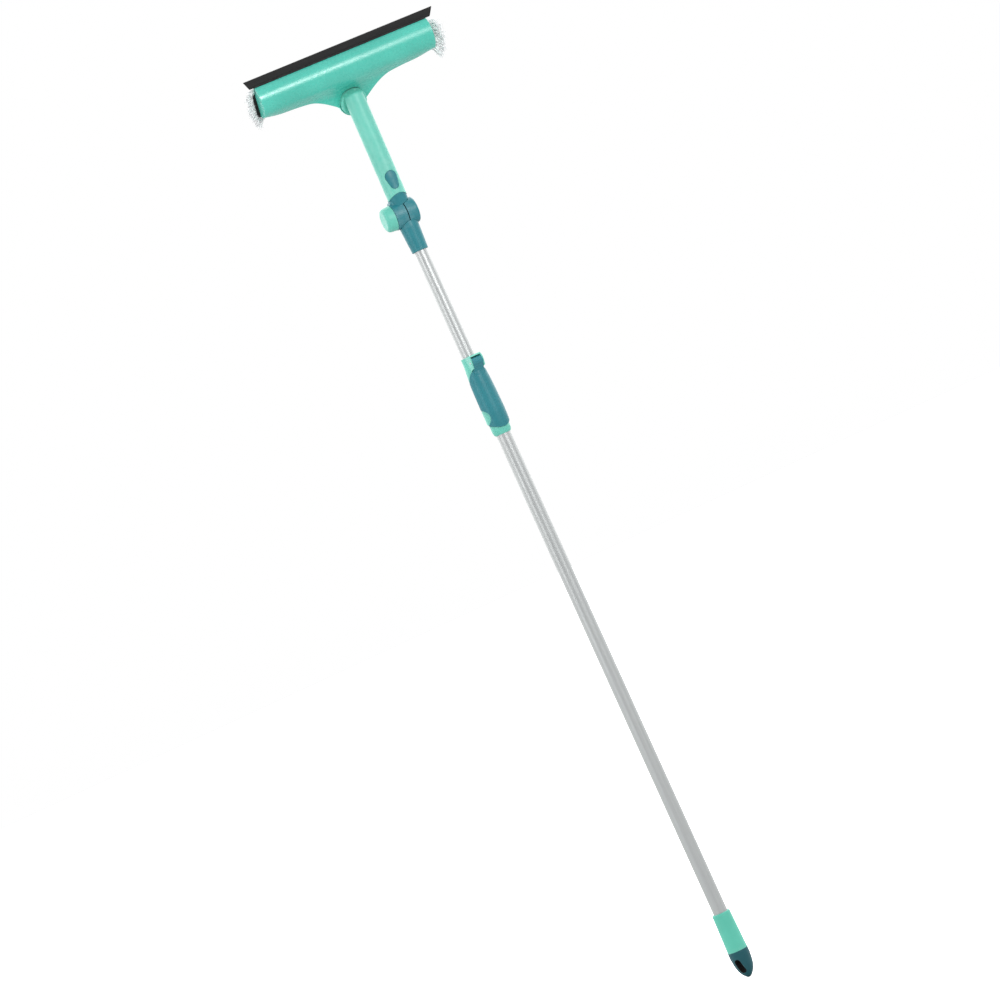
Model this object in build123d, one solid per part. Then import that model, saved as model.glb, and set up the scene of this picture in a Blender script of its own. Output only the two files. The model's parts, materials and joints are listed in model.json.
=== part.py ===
from build123d import *

import os
from math import cos, pi, radians, sin

# Telescopic window wiper: a T-shaped head with a rubber blade and a microfibre pad, on a tilting,
# quick-release neck, on a two-part aluminium pole with a cam-lever clamp.
# Millimetres. The origin is the tip of the end cap, +Z runs up the pole, -Y is the front, where the
# blade and the lever face, and X runs along the blade. The head has a frame of its own, with its
# origin on the swivel: across is along X, out is along the swivel's axis to the front, and up is
# along the head's face towards the blade.

# ---------------------------------------------------------------- driving dimensions
OUTER_TUBE_R = 12.5
INNER_TUBE_R = 11.0
TUBE_WALL = 0.8
RUNNING_FIT = 0.06  # radial gap of a shaft or tube in its bush
SHAFT_FIT = 0.05

CAP_HEIGHT = 48.3
CAP_R = 17.9
CAP_TIP_R = 2.8
PLUG_TOP_Z = 79.0
CAP_TURN = -45.0  # the hanging hole's direction, about Z from the front
HOLE_LEAN = 8.0  # the hole's slant from upright, seen along it
HOLE_WIDTH = 10.6
HOLE_LENGTH = 25.6
HOLE_Z = 22.8
GRIP_TOP_Z = 117.0
GRIP_LOW_R = 17.6
GRIP_HIGH_R = 15.8

CLAMP_LOW_Z = 997.0
CLAMP_TOP_Z = 1137.4
CLAMP_TURN = 9.0
OUTER_TUBE_TOP_Z = 1094.0
BARREL_R = 16.6
BARREL_TOP_R = 14.3
LINER_R = 12.2
BOSS_PAD_R = 18.6  # the raised pad under the lever's notch
NOTCH_R = 13.4
NOTCH_Z = 1032.0
SHOE_ROOM_HALF = 7.6
SHOE_ROOM_Z = (1112.6, 1133.8)
BRIDGE_Z = 1134.6  # the underside of the bridge over the lever's knuckle
CLAMP_SCREW_HEAD_R = 3.0
CLAMP_SCREW_SEAT_Y = 14.4
PIN_Z = 1125.8
PIN_OUT = 20.2  # the lever pin's distance in front of the pole's axis
PIN_R = 1.9
EAR_IN = 9.8
EAR_OUT = 12.0
KNUCKLE_R = 7.8
KNUCKLE_HALF = 9.5
CAM_BACK_R = 7.75
CAM_RISE = 0.3  # millimetres of cam for each radian of lever
SHOE_FACE_OUT = 12.4
CLAMP_SCREW_Z = (1015.0, 1078.0)
CLAMP_SCREW_R = 1.4
LEVER_TOP_Z = 1114.0
LEVER_LOW_Z = 1008.0
LEVER_INNER_R = 16.95

SOCKET_LOW_Z = 1333.0
SOCKET_LOW_R = 14.4
SOCKET_HIGH_Z = 1376.0
SOCKET_HIGH_R = 16.8
INNER_TUBE_LOW_Z = 285.0
INNER_TUBE_TOP_Z = 1368.0
RIVET_Z = 1350.0
RIVET_R = 2.0
RIVET_HEAD_R = 3.6

HINGE_Z = 1401.0
JOINT_R = 22.5
JOINT_GAP = 0.5  # round each disc, to the other half's arm
JOINT_LEFT_X = -19.9
SEAM_LEFT_X = 0.5
SEAM_RIGHT_X = 2.3
JOINT_RIGHT_X = 22.0
KNOB_INNER_X = -20.3
KNOB_OUTER_X = -37.3
KNOB_R = 21.7
KNOB_END_R = 20.2
KNOB_HOLLOW_R = 17.6
INSERT_R = 6.5
BOLT_R = 4.0
BOLT_END_X = -33.5
BOLT_HEAD_R = 7.6
BOLT_HEAD_X = 14.6
BOLT_HEAD_END_X = 19.6
FRICTION_R = 19.2
FRICTION_DISC_X = 3.1  # the floor of the friction disc's recess

REST_TILT = 3.5  # the neck's lean towards the front
NECK_Y = -4.6  # the neck's axis, before it leans
NECK_R = 17.0
NECK_BORE_R = 13.5
NECK_TOP_ROUND = 5.0
NECK_TOP_Z = 1640.0  # before the disc's outline trims it
COLLAR_WAIST_R = 16.9
COLLAR_WAIST_Z = 1416.0
COLLAR_TOP_Z = 1440.0
COLLAR_EDGE_R = 24.1
COLLAR_EDGE_Z = 1411.9
GUSSET_LOW_Z = 1420.6
GUSSET_HIGH_Z = 1427.0
STEM_TOP_Z = 1490.0
NECK_BORE_TOP_Z = 1492.0
NECK_HOLLOW_R = 11.0
NECK_HOLLOW_TOP_Z = 1566.0
BUTTON_HIGH_Z = 1476.2
BUTTON_LOW_Z = 1443.7
BUTTON_HIGH_R = 10.5
BUTTON_LOW_R = 7.6
BUTTON_FLOOR_Y = NECK_Y + 5.0
FLANGE_FRONT_Y = NECK_Y - 6.6
FLANGE_BACK_Y = NECK_Y - 4.6
SPRING_Z = 1463.0
SPRING_R = 4.0
SPRING_WIRE_R = 0.45

HEAD_PITCH = 31.0
DISC_Y = -5.8
DISC_Z = 1605.6
DISC_R = 23.3
DISC_FRONT = 3.6
DISC_BACK = -4.0
SWIVEL_BOLT_FRONT = 10.0
SWIVEL_WASHER_BACK = -16.3
SWIVEL_HEAD_R = 7.4
SWIVEL_HEAD_HEIGHT = 4.6
WASHER_R = 8.8
LOW_FRICTION_R = 20.0

SHELL_HALF = 160.2
SHELL_WALL = 2.4
SHELL_TOP = 90.7
SHELL_BACK = -7.0
# (x, up) along the shell's lower edge, from an end in to the boss
EDGE_LOW = (
    (SHELL_HALF, 35.4),
    (150.0, 32.9),
    (138.0, 30.8),
    (124.0, 29.2),
    (106.0, 28.4),
    (84.0, 26.6),
    (66.0, 23.0),
    (52.0, 16.0),
    (37.5, 6.2),
    (25.0, -2.9),
    (12.0, -10.4),
    (0.0, -12.5),
)
BAND_R = 30.2
BAND_UP = 61.9
BAND_OUT = -9.2
BOSS_R = 25.3
BOSS_FACE = -5.0
BOSS_BACK = -24.0
WEB_START_UP = 31.7
WEB_DROP = 46.2
BOSS_WALL = 2.6
HUB_BACK = -15.0
HUB_R = 10.0
BUSH_R = 6.3
SCREW_X = (-130.0, -60.0, 60.0, 130.0)
SCREW_UP = 55.0
SCREW_R = 1.5
SCREW_HEAD_R = 3.3
POST_R = 3.6  # the posts inside the shell that the screws bite into
POST_FRONT = 18.6

BLADE_OUT = -2.0
BLADE_TIP_UP = 105.7
BLADE_TIP_HALF = 175.8
BLADE_BASE_HALF = 169.8
BLADE_HEEL_HALF = 168.4
BLADE_HEEL_UP = 90.4
CHANNEL_HALF = 159.4
CHANNEL_TOP = 93.1
CHANNEL_LOW = 77.1
BULB_UP = 82.1
BULB_R = 2.1
RUBBER_BASE = 1.3
RUBBER_TIP = 0.7

PLATE_HALF = 165.0
PLATE_HEIGHT = 41.5
PLATE_BACK = -9.4
STRIP_BACK = -10.6
PAD_FRONT = -10.7
PAD_BACK = -25.0
PAD_HALF = 181.0
PAD_LOW = 27.0
PAD_HIGH = 84.0
STRIP_UP = (46.0, 64.0)

# ---------------------------------------------------------------- frames
CAP_FRAME = Rot(0, 0, CAP_TURN)
CLAMP_FRAME = Rot(0, 0, CLAMP_TURN)
NECK_FRAME = Pos(0, 0, HINGE_Z) * Rot(REST_TILT, 0, 0) * Pos(0, 0, -HINGE_Z)
HEAD_FRAME = Pos(0, DISC_Y, DISC_Z) * Rot(HEAD_PITCH, 0, 0)


# ---------------------------------------------------------------- shape helpers
def rod(radius, start, end):
    """A round bar from one point to another."""
    low = Vector(*start)
    run = Vector(*end) - low
    return extrude(Plane(origin=low, z_dir=run) * Circle(radius), amount=run.length)


def block(x_range, y_range, z_range):
    """A box between two corners."""
    size = [high - low for low, high in (x_range, y_range, z_range)]
    middle = [(high + low) / 2 for low, high in (x_range, y_range, z_range)]
    return Pos(*middle) * Box(*size)


def turned(points):
    """A solid of revolution about Z, from its (radius, z) half outline."""
    return revolve(Plane.XZ * make_face(Polyline(*points, close=True)), Axis.Z)


def tube(outer, inner, low, high):
    """A plain tube about Z."""
    return turned([(inner, low), (outer, low), (outer, high), (inner, high)])


def side_profile(points, half_width):
    """A prism along X from its (distance in front, z) outline."""
    outline = Polyline(*[(-out, z) for out, z in points], close=True)
    return extrude(Plane.YZ * make_face(outline), amount=half_width, both=True)


def ring_x(outer, inner, low, high, centre=(0, HINGE_Z)):
    """A washer about an axis along X."""
    y, z = centre
    return rod(outer, (low, y, z), (high, y, z)) - rod(inner, (low - 1, y, z), (high + 1, y, z))


def egg(margin):
    """The button's outline in the XZ plane, grown by a margin."""
    high = Pos(0, BUTTON_HIGH_Z - BUTTON_HIGH_R) * Circle(BUTTON_HIGH_R + margin)
    low = Pos(0, BUTTON_LOW_Z + BUTTON_LOW_R) * Circle(BUTTON_LOW_R + margin)
    return make_hull(high.edges() + low.edges())


def egg_prism(margin, front, back):
    """The button's outline run from one y to another."""
    return extrude(Plane.XZ.offset(-back) * egg(margin), amount=back - front)


def out_rod(radius, near, far, x=0.0, up=0.0):
    """A round bar in the head's frame, along its front-to-back axis, between two distances out."""
    return rod(radius, (x, -near, up), (x, -far, up))


# ---------------------------------------------------------------- outer pole
def outer_tube():
    shape = tube(OUTER_TUBE_R, OUTER_TUBE_R - TUBE_WALL, CAP_HEIGHT, OUTER_TUBE_TOP_Z)
    for z in CLAMP_SCREW_Z:
        shape -= CLAMP_FRAME * rod(CLAMP_SCREW_R, (0, 8, z), (0, 20, z))
    return shape


def end_grip():
    sleeve = turned(
        [
            (OUTER_TUBE_R, CAP_HEIGHT),
            (GRIP_LOW_R, CAP_HEIGHT),
            (GRIP_HIGH_R, GRIP_TOP_Z),
            (OUTER_TUBE_R, GRIP_TOP_Z),
        ]
    )
    rim = sleeve.edges().filter_by(GeomType.CIRCLE).group_by(Axis.Z)[-1].sort_by(SortBy.LENGTH)[-1]
    return fillet(rim, 1.4)


def end_cap():
    """A solid tapered cap, with a slot to hang it by and a plug that fills the tube's end."""
    curve = Spline(
        (CAP_TIP_R, 0),
        (6.9, 3.4),
        (10.5, 8.2),
        (14.0, 15.4),
        (16.1, 23.8),
        (17.6, 35.7),
        (CAP_R, CAP_HEIGHT),
        tangents=[(1, 0.62), (0, 1)],
    )
    rest = Polyline((CAP_R, CAP_HEIGHT), (0, CAP_HEIGHT), (0, 0), (CAP_TIP_R, 0))
    body = revolve(Plane.XZ * make_face([curve, *rest.edges()]), Axis.Z)
    plug_r = OUTER_TUBE_R - TUBE_WALL
    plug = turned(
        [
            (0, CAP_HEIGHT - 1),
            (plug_r, CAP_HEIGHT - 1),
            (plug_r, PLUG_TOP_Z - 3),
            (plug_r - 2, PLUG_TOP_Z),
            (0, PLUG_TOP_Z),
        ]
    )
    outline = Plane.XZ * Pos(0, HOLE_Z) * SlotOverall(HOLE_LENGTH, HOLE_WIDTH, rotation=90 + HOLE_LEAN)
    return body + plug - CAP_FRAME * extrude(outline, 30, both=True)


def ear_outline():
    return [
        (0, CLAMP_TOP_Z),
        (21.8, CLAMP_TOP_Z),
        (25.2, CLAMP_TOP_Z - 3.6),
        (26.4, PIN_Z + 4),
        (26.0, PIN_Z - 1),
        (22.4, 1114.8),
        (16.6, 1114.0),
        (13.5, 1112.8),
        (9, 1109.0),
        (4.5, 1104.1),
        (0.8, 1097.7),
        (0, 1096.2),
    ]


def shoe_room():
    """The window that the brake shoe slides in."""
    return block((-SHOE_ROOM_HALF, SHOE_ROOM_HALF), (-16, -6), SHOE_ROOM_Z)


def clamp_body():
    """The barrel on the outer tube, with two ears for the lever's pin and a bridge over them."""
    barrel = turned(
        [
            (0, CLAMP_LOW_Z),
            (13.4, CLAMP_LOW_Z),
            (15.6, CLAMP_LOW_Z + 3.4),
            (BARREL_R, CLAMP_LOW_Z + 8.5),
            (BARREL_R, 1098),
            (15.9, 1110),
            (14.8, 1120),
            (BARREL_TOP_R, 1128),
            (BARREL_TOP_R, CLAMP_TOP_Z),
            (0, CLAMP_TOP_Z),
        ]
    )
    under_bridge = (1090, BRIDGE_Z)
    ears = side_profile(ear_outline(), EAR_OUT) - block((-EAR_IN, EAR_IN), (-40, 0), under_bridge)
    stem_room = block((-EAR_IN, EAR_IN), (-40, -13.9), (1099, BRIDGE_Z))
    knuckle_room = rod(KNUCKLE_R + 0.7, (-EAR_IN, -PIN_OUT, PIN_Z), (EAR_IN, -PIN_OUT, PIN_Z))
    pad = rod(NOTCH_R - 0.6, (-BOSS_PAD_R, 0, NOTCH_Z), (0, 0, NOTCH_Z))
    pad &= rod(BOSS_PAD_R, (0, 0, CLAMP_LOW_Z), (0, 0, LEVER_TOP_Z))
    shape = barrel + pad - stem_room + ears - knuckle_room
    shape -= rod(OUTER_TUBE_R, (0, 0, CLAMP_LOW_Z - 1), (0, 0, OUTER_TUBE_TOP_Z))
    shape -= rod(LINER_R, (0, 0, OUTER_TUBE_TOP_Z - 1), (0, 0, CLAMP_TOP_Z + 1))
    shape -= shoe_room()
    shape -= rod(PIN_R, (-20, -PIN_OUT, PIN_Z), (20, -PIN_OUT, PIN_Z))
    for z in CLAMP_SCREW_Z:
        shape -= rod(CLAMP_SCREW_R, (0, 11, z), (0, 20, z))
        shape -= rod(CLAMP_SCREW_HEAD_R + 0.1, (0, CLAMP_SCREW_SEAT_Y, z), (0, 20, z))
    return CLAMP_FRAME * shape


def clamp_screws():
    """Two screws through the back of the clamp into the outer tube's wall."""
    screws = []
    recess = (CLAMP_SCREW_SEAT_Y + 1.0, BARREL_R)
    for z in CLAMP_SCREW_Z:
        head = rod(CLAMP_SCREW_HEAD_R, (0, CLAMP_SCREW_SEAT_Y, z), (0, BARREL_R - 0.4, z))
        slot = block((-2.2, 2.2), recess, (z - 0.4, z + 0.4))
        cross = block((-0.4, 0.4), recess, (z - 2.2, z + 2.2))
        tip_y = OUTER_TUBE_R - TUBE_WALL + 0.1
        shank = rod(CLAMP_SCREW_R, (0, tip_y, z), (0, CLAMP_SCREW_SEAT_Y, z))
        screws.append(CLAMP_FRAME * (head - slot - cross + shank))
    return Compound(children=screws)


def clamp_bush():
    """A plastic liner that guides the inner tube, with a window for the brake shoe."""
    liner = tube(LINER_R, INNER_TUBE_R + RUNNING_FIT, OUTER_TUBE_TOP_Z, CLAMP_TOP_Z)
    return CLAMP_FRAME * (liner - shoe_room())


def lever_pin():
    pin = rod(PIN_R, (-EAR_OUT - 0.2, -PIN_OUT, PIN_Z), (EAR_OUT + 0.2, -PIN_OUT, PIN_Z))
    return CLAMP_FRAME * chamfer(pin.edges().filter_by(GeomType.CIRCLE), 0.4)


# ---------------------------------------------------------------- clamp lever and brake
def cam_radius(turn):
    """The knuckle's radius at an angle from its tube side, up over the top to the front."""
    open_end = radians(130)
    if turn <= open_end:
        return CAM_BACK_R - CAM_RISE * turn
    if turn <= pi:
        low = CAM_BACK_R - CAM_RISE * open_end
        return low + (KNUCKLE_R - low) * (turn - open_end) / (pi - open_end)
    return KNUCKLE_R - (KNUCKLE_R - CAM_BACK_R) * (turn - pi) / pi


def knuckle():
    steps = 24
    points = []
    for i in range(steps):
        turn = 2 * pi * i / steps
        r = cam_radius(turn)
        points.append((r * cos(turn) - PIN_OUT, r * sin(turn) + PIN_Z))
    outline = Spline(*points, periodic=True)
    return extrude(Plane.YZ * make_face(outline), amount=KNUCKLE_HALF, both=True)


def clamp_lever():
    """A curved lever that wraps the front of the clamp, with a cam knuckle at its top."""
    outer = Spline(
        (18.8, LEVER_LOW_Z - 1),
        (20.1, 1026),
        (20.5, 1042),
        (20.2, 1060),
        (19.7, 1082),
        (18.7, 1100),
        (17.5, LEVER_TOP_Z),
    )
    rest = Polyline(outer @ 1, (0, LEVER_TOP_Z), (0, LEVER_LOW_Z - 1), outer @ 0)
    wrap = revolve(Plane.XZ * make_face([outer, *rest.edges()]), Axis.Z)
    wrap -= turned(
        [
            (0, LEVER_LOW_Z - 2),
            (LEVER_INNER_R, LEVER_LOW_Z - 2),
            (LEVER_INNER_R, 1099),
            (16.3, 1110),
            (15.7, LEVER_TOP_Z + 1),
            (0, LEVER_TOP_Z + 1),
        ]
    )
    wrap &= block((-30, 30), (-30, 0), (LEVER_LOW_Z - 2, LEVER_TOP_Z + 1))
    tongue = Pos(0, 1025) * Ellipse(20.4, 1025 - LEVER_LOW_Z) + Pos(0, 1080) * Rectangle(40.8, 110)
    wrap &= extrude(Plane.XZ * tongue, 40, both=True)
    wrap -= rod(NOTCH_R, (-30, 0, NOTCH_Z), (-2, 0, NOTCH_Z))
    shoulders = side_profile(
        [
            (-2, 1088),
            (0.8, 1096.5),
            (4.5, 1103),
            (9, 1108),
            (13.5, 1111.8),
            (15.6, 1113),
            (30, 1113),
            (30, 1130),
            (-2, 1130),
        ],
        30,
    )
    neck_gap = block((-KNUCKLE_HALF, KNUCKLE_HALF), (-40, 5), (1090, 1140))
    wrap -= shoulders - neck_gap
    wrap &= block((-30, 30), (-30, 5), (LEVER_LOW_Z - 2, LEVER_TOP_Z))
    stem = side_profile(
        [
            (14.3, 1100.0),
            (14.3, 1119.0),
            (PIN_OUT, PIN_Z),
            (27.4, 1122.6),
            (19.2, 1113.4),
            (17.4, 1109.5),
            (18.6, 1100.0),
        ],
        KNUCKLE_HALF,
    )
    stem &= turned(
        [
            (0, 1099),
            (18.7, 1099),
            (18.5, 1103),
            (20.2, 1109),
            (23.0, 1114),
            (33.0, 1121),
            (33.0, 1136),
            (0, 1136),
        ]
    )
    shape = wrap + stem + knuckle()
    shape -= rod(PIN_R + SHAFT_FIT, (-20, -PIN_OUT, PIN_Z), (20, -PIN_OUT, PIN_Z))
    return CLAMP_FRAME * shape


def brake_shoe():
    """A saddle between the cam and the inner tube."""
    saddle = block((-7.2, 7.2), (-SHOE_FACE_OUT, -7.9), (1113.0, PIN_Z + 7.6))
    saddle -= rod(INNER_TUBE_R + RUNNING_FIT, (0, 0, 1100), (0, 0, 1150))
    return CLAMP_FRAME * saddle


# ---------------------------------------------------------------- inner pole
def inner_tube():
    shape = tube(INNER_TUBE_R, INNER_TUBE_R - TUBE_WALL, INNER_TUBE_LOW_Z, INNER_TUBE_TOP_Z)
    return shape - rod(RIVET_R, (0, 5, RIVET_Z), (0, 20, RIVET_Z))


def inner_guide():
    """A plug in the inner tube's lower end, whose flange runs in the outer tube."""
    flange_r = OUTER_TUBE_R - TUBE_WALL - RUNNING_FIT
    plug_r = INNER_TUBE_R - TUBE_WALL
    return turned(
        [
            (plug_r - 2, INNER_TUBE_LOW_Z - 12),
            (flange_r - 0.8, INNER_TUBE_LOW_Z - 12),
            (flange_r, INNER_TUBE_LOW_Z - 11),
            (flange_r, INNER_TUBE_LOW_Z),
            (plug_r, INNER_TUBE_LOW_Z),
            (plug_r, INNER_TUBE_LOW_Z + 22),
            (plug_r - 2, INNER_TUBE_LOW_Z + 22),
        ]
    )


def joint_socket():
    """The lower half of the tilting joint: a tapered socket for the tube, and the right-hand disc."""
    cone = turned(
        [
            (0, SOCKET_LOW_Z),
            (SOCKET_LOW_R - 0.6, SOCKET_LOW_Z),
            (SOCKET_LOW_R, SOCKET_LOW_Z + 1),
            (SOCKET_HIGH_R, SOCKET_HIGH_Z),
            (SOCKET_HIGH_R, HINGE_Z),
            (0, HINGE_Z),
        ]
    )
    cone -= rod(JOINT_R + JOINT_GAP, (-30, 0, HINGE_Z), (SEAM_RIGHT_X, 0, HINGE_Z))
    disc = rod(JOINT_R, (SEAM_RIGHT_X, 0, HINGE_Z), (JOINT_RIGHT_X, 0, HINGE_Z))
    disc = fillet(disc.edges().filter_by(GeomType.CIRCLE).sort_by(Axis.X)[-1], 3.8)
    shape = cone + disc
    shape -= rod(INNER_TUBE_R, (0, 0, SOCKET_LOW_Z - 1), (0, 0, INNER_TUBE_TOP_Z))
    shape -= rod(BOLT_R, (-5, 0, HINGE_Z), (15, 0, HINGE_Z))
    shape -= hexagon_x(BOLT_HEAD_R, BOLT_HEAD_X, JOINT_RIGHT_X + 1)
    shape -= rod(FRICTION_R + 0.1, (SEAM_RIGHT_X - 1, 0, HINGE_Z), (FRICTION_DISC_X, 0, HINGE_Z))
    shape -= rod(RIVET_R, (0, 5, RIVET_Z), (0, 20, RIVET_Z))
    return shape


def hexagon_x(corner_r, low, high):
    """A hexagonal bar along the hinge's axis."""
    plane = Plane(origin=(low, 0, HINGE_Z), x_dir=(0, 1, 0), z_dir=(1, 0, 0))
    return extrude(plane * RegularPolygon(corner_r, 6), amount=high - low)


def friction_disc():
    """A fibre disc between the joint's two halves."""
    return ring_x(FRICTION_R, BOLT_R + 0.1, SEAM_LEFT_X + 0.06, FRICTION_DISC_X)


def joint_bolt():
    head = hexagon_x(BOLT_HEAD_R, BOLT_HEAD_X, BOLT_HEAD_END_X)
    shank = rod(BOLT_R, (BOLT_END_X, 0, HINGE_Z), (BOLT_HEAD_X, 0, HINGE_Z))
    end = shank.edges().filter_by(GeomType.CIRCLE).sort_by(Axis.X)[0]
    return head + chamfer(end, 0.8)


def socket_rivet():
    """A blind rivet through the back of the socket and the tube."""
    skin = SOCKET_LOW_R + (SOCKET_HIGH_R - SOCKET_LOW_R) * (RIVET_Z - SOCKET_LOW_Z) / (
        SOCKET_HIGH_Z - SOCKET_LOW_Z
    )
    shank = rod(RIVET_R, (0, INNER_TUBE_R - TUBE_WALL - 1.5, RIVET_Z), (0, skin + 0.4, RIVET_Z))
    head = rod(RIVET_HEAD_R, (0, skin + 0.3, RIVET_Z), (0, skin + 1.5, RIVET_Z))
    rim = head.edges().filter_by(GeomType.CIRCLE).sort_by(Axis.Y)[-1]
    return shank + fillet(rim, 0.9)


# ---------------------------------------------------------------- knob
def joint_knob():
    """The round knob that tightens the joint, hollow round its threaded insert."""
    knob = side_cone(KNOB_R, KNOB_END_R, KNOB_INNER_X, KNOB_OUTER_X)
    rim = knob.edges().filter_by(GeomType.CIRCLE).sort_by(Axis.X)[0]
    knob = fillet(rim, 6.2)
    hub_r = INSERT_R + 3.1
    knob -= ring_x(KNOB_HOLLOW_R, hub_r, KNOB_INNER_X - 9, KNOB_INNER_X + 1)
    knob -= rod(hub_r + 0.1, (KNOB_INNER_X - 1.2, 0, HINGE_Z), (KNOB_INNER_X + 1, 0, HINGE_Z))
    return knob - rod(INSERT_R, (BOLT_END_X - 1.5, 0, HINGE_Z), (KNOB_INNER_X + 1, 0, HINGE_Z))


def side_cone(inner_r, outer_r, inner_x, outer_x):
    """A cone along X, about the hinge."""
    plane = Plane(origin=(inner_x, 0, HINGE_Z), z_dir=(-1, 0, 0))
    start = plane * Circle(inner_r)
    end = plane.offset(inner_x - outer_x) * Circle(outer_r)
    return loft([start, end])


def knob_insert():
    return ring_x(INSERT_R, BOLT_R + SHAFT_FIT, BOLT_END_X + 0.1, KNOB_INNER_X - 1.2)


def knob_washer():
    return ring_x(WASHER_R, BOLT_R + SHAFT_FIT, KNOB_INNER_X - 1.15, JOINT_LEFT_X - 0.06)


# ---------------------------------------------------------------- neck
def collar_edge(radius, low):
    """A bar along Y whose top is the arched edge between collar and neck."""
    return rod(radius, (0, -40, COLLAR_EDGE_Z), (0, 40, COLLAR_EDGE_Z)) + block(
        (-40, 40), (-40, 40), (low, COLLAR_EDGE_Z)
    )


def joint_head():
    """The upper half of the tilting joint: the left-hand disc, a collar, and the neck's stem."""
    disc = rod(JOINT_R, (JOINT_LEFT_X, 0, HINGE_Z), (SEAM_LEFT_X, 0, HINGE_Z))
    waist = Plane.XY.offset(COLLAR_WAIST_Z) * Circle(COLLAR_WAIST_R)
    brim = Pos(0, NECK_Y) * Plane.XY.offset(COLLAR_TOP_Z) * Circle(NECK_R)
    collar = rod(COLLAR_WAIST_R, (0, 0, HINGE_Z), (0, 0, COLLAR_WAIST_Z)) + loft([waist, brim])
    gusset = extrude(
        Plane.XZ
        * make_face(
            Polyline(
                (JOINT_LEFT_X, HINGE_Z),
                (JOINT_LEFT_X, GUSSET_LOW_Z),
                (-COLLAR_WAIST_R + 0.6, GUSSET_HIGH_Z),
                (SEAM_LEFT_X, GUSSET_HIGH_Z),
                (SEAM_LEFT_X, HINGE_Z),
                close=True,
            )
        ),
        amount=12,
        both=True,
    )
    collar += gusset & rod(-JOINT_LEFT_X + 0.4, (0, 0, HINGE_Z), (0, 0, GUSSET_HIGH_Z + 3))
    collar &= collar_edge(COLLAR_EDGE_R - 0.15, HINGE_Z - 5)
    shape = disc + collar
    shape -= rod(JOINT_R + JOINT_GAP, (SEAM_LEFT_X, 0, HINGE_Z), (30, 0, HINGE_Z))
    stem = rod(NECK_BORE_R - 0.1, (0, NECK_Y, HINGE_Z + JOINT_R + 2), (0, NECK_Y, STEM_TOP_Z))
    rim = stem.edges().filter_by(GeomType.CIRCLE).sort_by(Axis.Z)[-1]
    shape += fillet(rim, 2.0)
    shape -= egg_prism(1.2, -40, BUTTON_FLOOR_Y)
    shape -= rod(BOLT_R + SHAFT_FIT, (-30, 0, HINGE_Z), (10, 0, HINGE_Z))
    return NECK_FRAME * shape


def release_button():
    """The push button that lets the neck off its stem: a domed egg with a flange behind."""
    body = egg_prism(-0.35, NECK_Y - 20, FLANGE_FRONT_Y)
    body &= rod(NECK_R + 0.7, (0, NECK_Y, 1430), (0, NECK_Y, 1490))
    flange = egg_prism(0.8, FLANGE_FRONT_Y, FLANGE_BACK_Y)
    return NECK_FRAME * (body + flange)


def button_spring():
    """A small coil spring between the button and the stem."""
    length = BUTTON_FLOOR_Y - FLANGE_BACK_Y - 2 * SPRING_WIRE_R - 0.1
    line = Helix(pitch=length / 4, height=length, radius=SPRING_R)
    wire = Plane(origin=line @ 0, z_dir=line % 0) * Circle(SPRING_WIRE_R)
    coil = sweep(wire, path=line)
    place = Pos(0, BUTTON_FLOOR_Y - SPRING_WIRE_R - 0.05, SPRING_Z) * Rot(90, 0, 0)
    return NECK_FRAME * place * coil


def neck_handle():
    """The hollow neck, whose top end is the disc that the head turns on."""
    low = COLLAR_EDGE_Z
    barrel = rod(NECK_R, (0, NECK_Y, low), (0, NECK_Y, NECK_TOP_Z))
    barrel -= collar_edge(COLLAR_EDGE_R, low - 10)
    barrel -= rod(NECK_BORE_R, (0, NECK_Y, low), (0, NECK_Y, NECK_BORE_TOP_Z))
    barrel -= rod(NECK_HOLLOW_R, (0, NECK_Y, NECK_BORE_TOP_Z - 1), (0, NECK_Y, NECK_HOLLOW_TOP_Z))
    barrel -= egg_prism(0.0, -40, NECK_Y - 2)
    room = out_rod(DISC_R - 0.4, DISC_BACK, 60) + block((-40, 40), (-170, -DISC_BACK), (-300, 0))
    barrel = (NECK_FRAME * barrel) & (HEAD_FRAME * room)
    top = barrel.edges().filter_by_position(Axis.Z, DISC_Z + 3, DISC_Z + 40)
    barrel = fillet(top, NECK_TOP_ROUND)
    disc = out_rod(DISC_R, DISC_BACK, DISC_FRONT)
    disc = fillet(disc.edges().filter_by(GeomType.CIRCLE).sort_by(Axis.Y)[0], 2.4)
    shape = barrel + HEAD_FRAME * disc
    return shape - HEAD_FRAME * out_rod(BOLT_R, DISC_BACK - 1, SWIVEL_BOLT_FRONT)


def swivel_bolt():
    """The bolt that the head turns on, with its hexagonal head behind the boss."""
    shank = out_rod(BOLT_R, SWIVEL_WASHER_BACK - 0.1, SWIVEL_BOLT_FRONT)
    plane = Plane(origin=(0, -SWIVEL_WASHER_BACK, 0), x_dir=(1, 0, 0), z_dir=(0, 1, 0))
    head = extrude(plane * RegularPolygon(SWIVEL_HEAD_R, 6), amount=SWIVEL_HEAD_HEIGHT)
    return HEAD_FRAME * (shank + head)


def swivel_washer():
    ring = out_rod(WASHER_R, SWIVEL_WASHER_BACK, HUB_BACK - 0.3)
    return HEAD_FRAME * (ring - out_rod(BOLT_R, -20, 20))


# ---------------------------------------------------------------- head
def edge_low(x):
    """How low the shell's lower edge lies, from the ends in to the boss."""
    return dict(EDGE_LOW)[abs(x)]


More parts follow.
